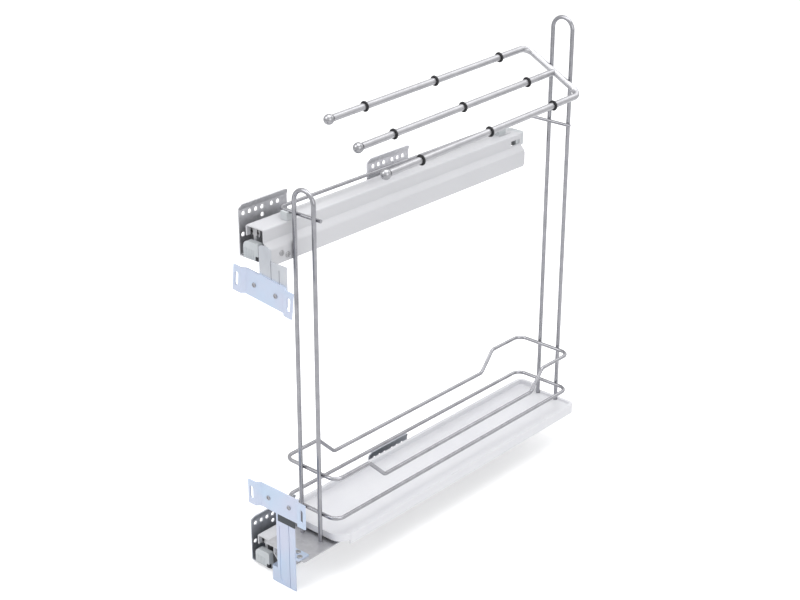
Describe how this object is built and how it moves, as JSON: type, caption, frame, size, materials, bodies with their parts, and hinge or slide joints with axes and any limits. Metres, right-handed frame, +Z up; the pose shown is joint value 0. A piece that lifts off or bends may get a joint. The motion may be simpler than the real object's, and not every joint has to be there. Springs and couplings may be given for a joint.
{
  "type": "pull-out towel rail",
  "caption": "Narrow pull-out cabinet unit on ball runners, with towel bars on top, wire galleries, a bottle tray and brackets that carry the cabinet's door.",
  "frame": {"origin": "on the cabinet's side wall, midway between the two screws of the lower front bracket", "axes": "+X from the side wall into the cabinet, -Y towards the door, +Z up"},
  "size_m": [0.1046, 0.4975, 0.557],
  "materials": {
    "galvanised": "satin",
    "rail_steel": "satin",
    "ball_steel": "polished",
    "rubber": "matt",
    "cover_coat": "satin",
    "nylon": "satin",
    "grey_plastic": "matt",
    "tray_plastic": "satin",
    "black_plastic": "matt",
    "zinc": "blue passivated",
    "chrome_wire": "polished"
  },
  "bodies": {
    "wall_side": {"upper_front_bracket": "galvanised", "upper_rear_bracket": "galvanised", "lower_front_bracket": "galvanised", "lower_rear_bracket": "galvanised", "upper_fixed_rail": "rail_steel", "lower_fixed_rail": "rail_steel", "upper_rail_rivets": "rail_steel", "lower_rail_rivets": "rail_steel", "rear_buffers": "rubber", "soft_close_striker": "rail_steel"},
    "carriage": {"upper_moving_rail": "rail_steel", "lower_moving_rail": "rail_steel", "upper_cover": "cover_coat", "lower_cover": "cover_coat", "cover_end_caps": "nylon", "soft_close_housing": "grey_plastic", "damper_cylinder": "rail_steel", "damper_rod": "chrome_wire", "closing_spring": "rail_steel", "soft_close_catch": "nylon", "soft_close_end_cap": "grey_plastic", "front_frame_clip": "nylon", "rear_frame_clip": "nylon", "front_loop": "chrome_wire", "rear_loop": "chrome_wire", "upper_wire_frame": "chrome_wire", "lower_gallery_ring": "chrome_wire", "upper_gallery_ring": "chrome_wire", "towel_bar_loop": "chrome_wire", "middle_towel_bar": "chrome_wire", "towel_bar_ends": "chrome_wire", "grip_rings": "rubber", "bottle_tray": "tray_plastic", "tray_carrier": "galvanised", "carrier_rivets": "rail_steel", "upper_door_bracket": "zinc", "upper_door_plate": "zinc", "upper_plate_rivets": "chrome_wire", "upper_bracket_screws": "rail_steel", "lower_door_bracket": "zinc", "lower_door_plate": "zinc", "lower_plate_rivets": "chrome_wire", "lower_bracket_screws": "rail_steel", "adjuster_strip": "black_plastic"},
    "upper_middle": {"upper_middle_rail": "rail_steel", "upper_front_cap": "nylon", "upper_bumper": "rubber"},
    "upper_outer_cage": {"upper_outer_retainer": "rail_steel", "upper_outer_balls": "ball_steel"},
    "upper_inner_cage": {"upper_inner_retainer": "rail_steel", "upper_inner_balls": "ball_steel"},
    "lower_middle": {"lower_middle_rail": "rail_steel", "lower_front_cap": "nylon", "lower_bumper": "rubber"},
    "lower_outer_cage": {"lower_outer_retainer": "rail_steel", "lower_outer_balls": "ball_steel"},
    "lower_inner_cage": {"lower_inner_retainer": "rail_steel", "lower_inner_balls": "ball_steel"}
  },
  "joints": [
    {"name": "pull_out", "type": "slide", "parent": "wall_side", "child": "carriage", "axis": [0, -1, 0], "range_m": [0, 0.4]},
    {"name": "upper_middle_slide", "type": "slide", "parent": "wall_side", "child": "upper_middle", "axis": [0, -1, 0], "range_m": [0, 0.2]},
    {"name": "upper_outer_cage_roll", "type": "slide", "parent": "wall_side", "child": "upper_outer_cage", "axis": [0, -1, 0], "range_m": [0, 0.1]},
    {"name": "upper_inner_cage_roll", "type": "slide", "parent": "upper_middle", "child": "upper_inner_cage", "axis": [0, -1, 0], "range_m": [0, 0.1]},
    {"name": "lower_middle_slide", "type": "slide", "parent": "wall_side", "child": "lower_middle", "axis": [0, -1, 0], "range_m": [0, 0.2]},
    {"name": "lower_outer_cage_roll", "type": "slide", "parent": "wall_side", "child": "lower_outer_cage", "axis": [0, -1, 0], "range_m": [0, 0.1]},
    {"name": "lower_inner_cage_roll", "type": "slide", "parent": "lower_middle", "child": "lower_inner_cage", "axis": [0, -1, 0], "range_m": [0, 0.1]}
  ],
  "couplings": [
    {"joint": "upper_middle_slide", "follows": "pull_out", "ratio": 0.5},
    {"joint": "upper_outer_cage_roll", "follows": "pull_out", "ratio": 0.25},
    {"joint": "upper_inner_cage_roll", "follows": "pull_out", "ratio": 0.25},
    {"joint": "lower_middle_slide", "follows": "pull_out", "ratio": 0.5},
    {"joint": "lower_outer_cage_roll", "follows": "pull_out", "ratio": 0.25},
    {"joint": "lower_inner_cage_roll", "follows": "pull_out", "ratio": 0.25}
  ]
}
